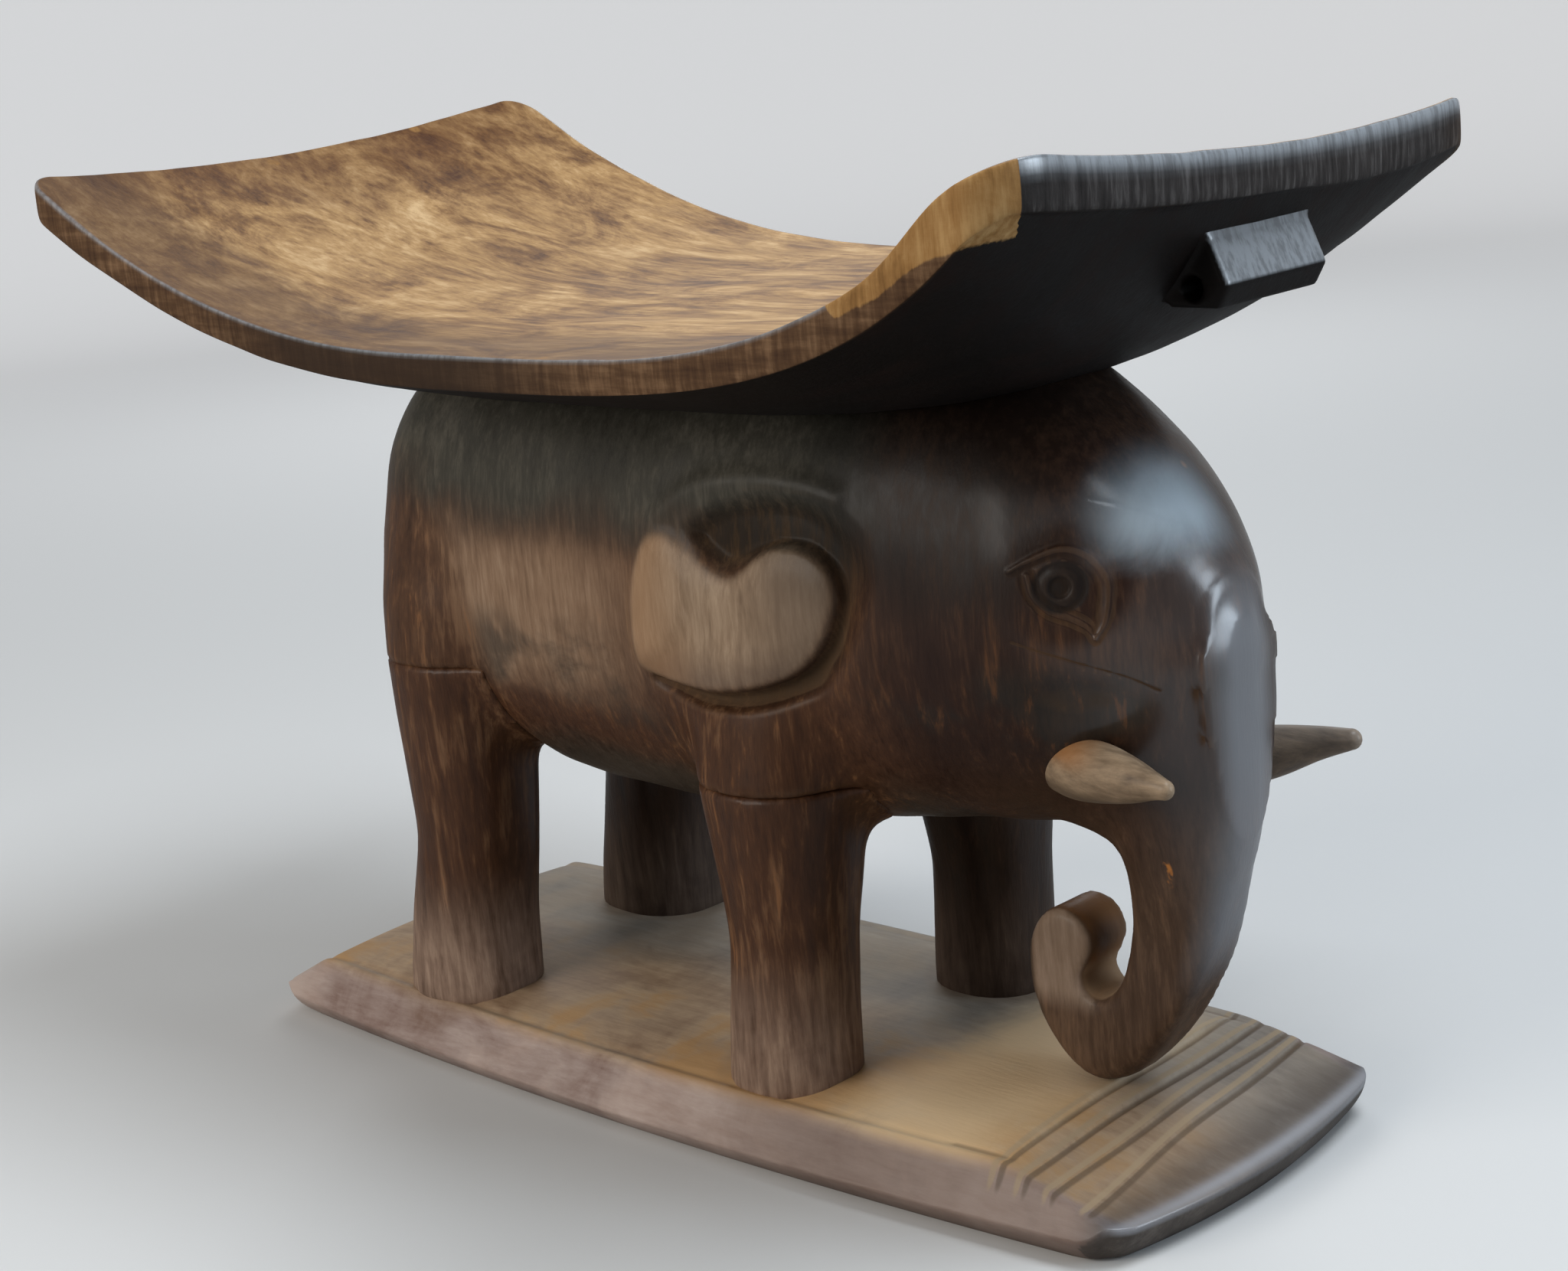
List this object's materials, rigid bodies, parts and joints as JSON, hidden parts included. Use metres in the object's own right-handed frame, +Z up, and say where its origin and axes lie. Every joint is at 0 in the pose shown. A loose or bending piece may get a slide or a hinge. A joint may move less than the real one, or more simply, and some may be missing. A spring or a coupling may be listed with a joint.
{
  "type": "stool",
  "caption": "Carved wooden stool: a hollowed board seat with raised ends, carried on the back of a standing elephant on a low slab.",
  "frame": {"origin": "centre of the base slab's underside, on the floor", "axes": "+X along the stool towards the elephant's head, +Y towards the elephant's left side, +Z up"},
  "size_m": [0.5724, 0.306, 0.4217],
  "materials": {
    "seat_wood": "golden tan top worn by sitting, dark glossy ends and underside",
    "body_wood": "dark brown oiled wood, polished on the forehead, dusty in the recesses",
    "leg_wood": "dark red-brown wood with fine upright tool marks",
    "base_wood": "dusty grey-tan, dry and worn",
    "tusk_wood": "greyish tan, dry",
    "dowel_wood": "plain pale wood, hidden in the joints"
  },
  "bodies": {
    "root": {"seat": "seat_wood", "elephant_body": "body_wood", "front_left_leg": "leg_wood", "front_right_leg": "leg_wood", "rear_left_leg": "leg_wood", "rear_right_leg": "leg_wood", "base": "base_wood", "left_tusk": "tusk_wood", "right_tusk": "tusk_wood", "front_left_dowel": "dowel_wood", "front_right_dowel": "dowel_wood", "rear_left_dowel": "dowel_wood", "rear_right_dowel": "dowel_wood"}
  },
  "joints": []
}
